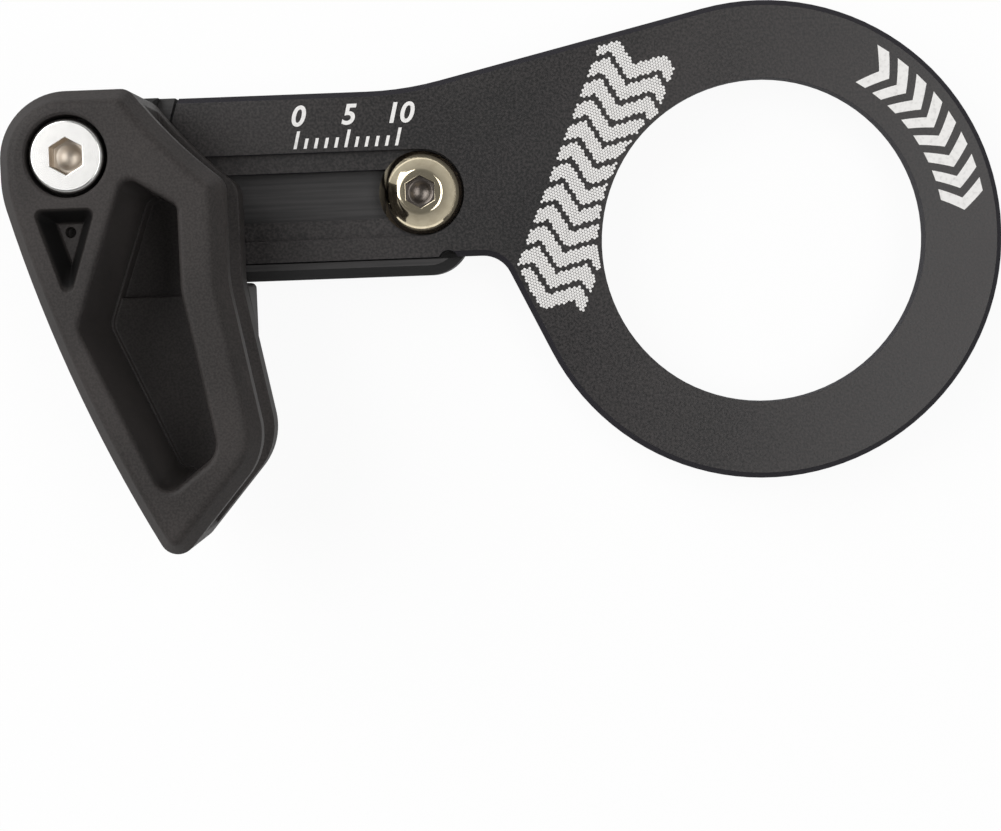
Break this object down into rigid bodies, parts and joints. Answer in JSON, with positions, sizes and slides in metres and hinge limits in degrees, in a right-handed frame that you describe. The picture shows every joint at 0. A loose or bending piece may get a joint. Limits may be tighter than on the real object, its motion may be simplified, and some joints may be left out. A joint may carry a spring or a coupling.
{
  "type": "bicycle chain guide",
  "caption": "Bottom bracket mounted chain guide: flat ring and arm with an adjusting slot, sliding carrier and a two-sided chain cage.",
  "frame": {"origin": "centre of the bore on the ring's rear face, which seats on the bottom bracket shell", "axes": "+Z along the bore, outboard; +X along the adjusting slot, from the cage towards the bore; +Y up as pictured"},
  "size_m": [0.1043, 0.0558, 0.0244],
  "materials": {
    "anodised_plate": "fine blasted, black anodised",
    "anodised_slider": "machined, black anodised",
    "guide_plastic": "moulded satin black nylon",
    "polished_steel": "polished stainless steel",
    "bright_steel": "turned stainless steel"
  },
  "bodies": {
    "plate": {"backplate": "anodised_plate"},
    "carrier": {"slider": "anodised_slider", "clamp_bolt": "polished_steel", "inner_guide": "guide_plastic", "outer_guide": "guide_plastic", "cage_bolt": "bright_steel"}
  },
  "joints": [
    {"name": "cage_slide", "type": "slide", "parent": "plate", "child": "carrier", "axis": [-1, 0, 0], "range_m": [0, 0.0235]}
  ]
}
